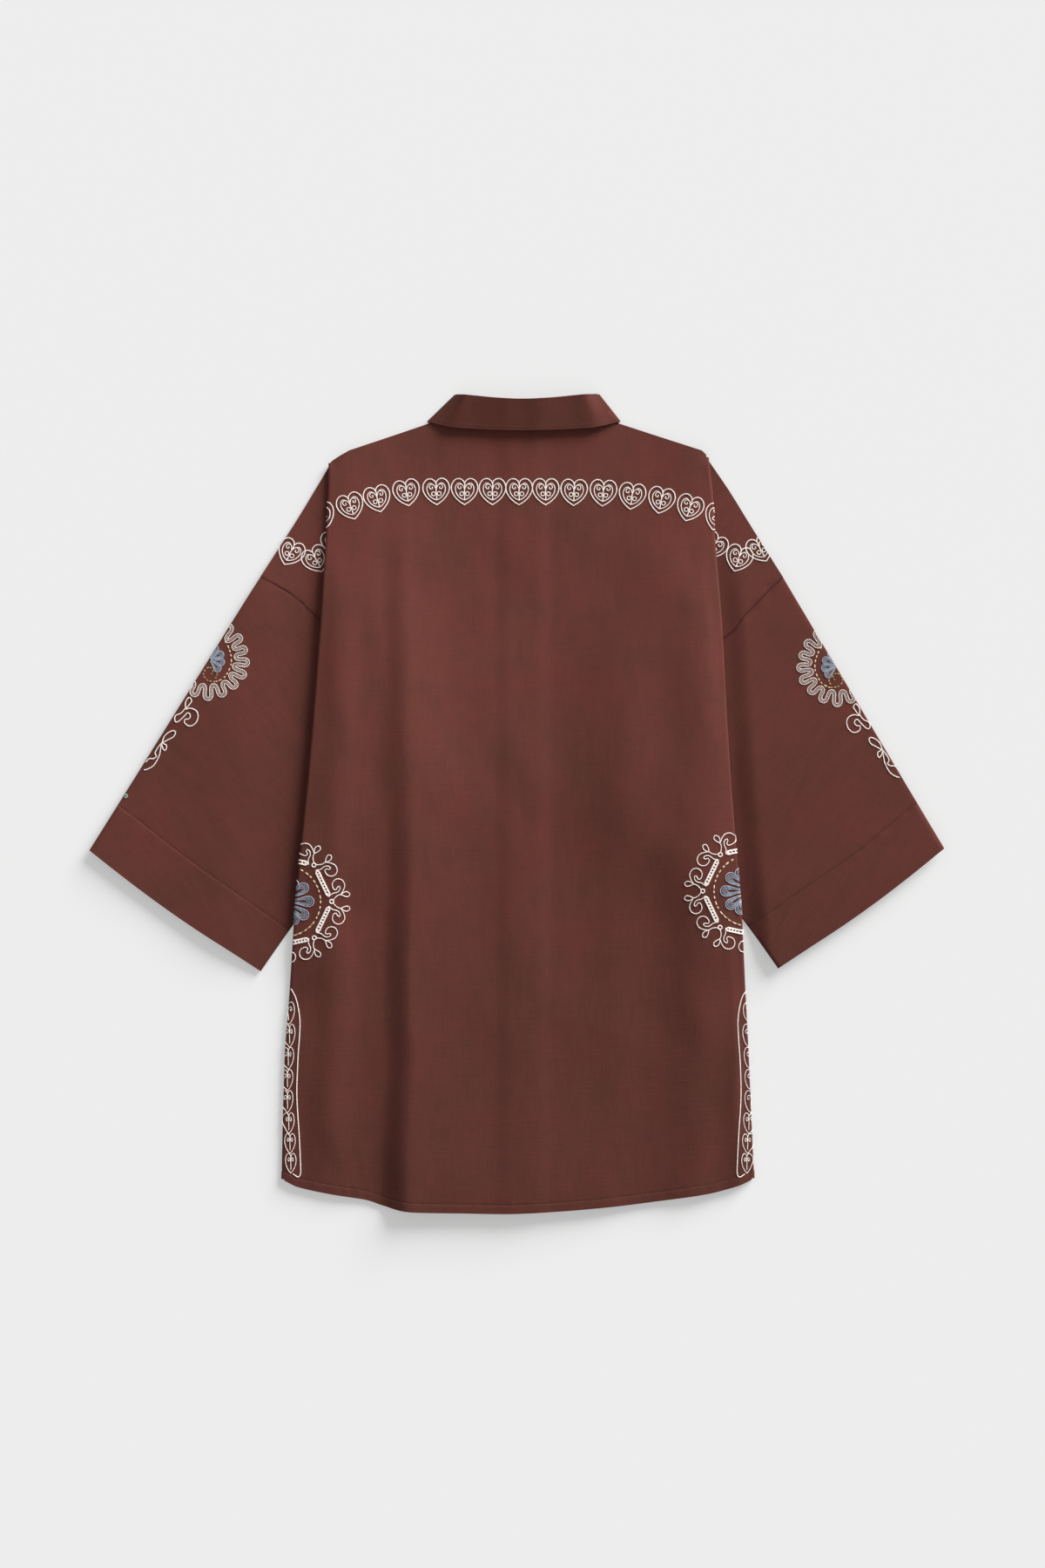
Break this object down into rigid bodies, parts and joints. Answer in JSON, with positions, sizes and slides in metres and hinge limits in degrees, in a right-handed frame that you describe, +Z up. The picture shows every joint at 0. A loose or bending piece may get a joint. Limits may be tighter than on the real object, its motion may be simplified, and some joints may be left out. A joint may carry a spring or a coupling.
{
  "type": "kurti",
  "caption": "Short wide-sleeved kurti with a shirt collar and chain-stitch embroidery, laid face down and flat with both sleeves swung down.",
  "frame": {"origin": "middle of the garment's outline, on the surface it lies on", "axes": "+Z up out of the surface, +Y towards the collar, +X to the right as the back is seen"},
  "size_m": [0.98, 0.9394, 0.0104],
  "materials": {
    "cloth": "matt woven cotton, reddish brown"
  },
  "bodies": {
    "root": {"back": "cloth", "front_left": "cloth", "front_right": "cloth", "sleeve_left": "cloth", "sleeve_right": "cloth", "collar_stand": "cloth", "collar_fall": "cloth"}
  },
  "joints": []
}
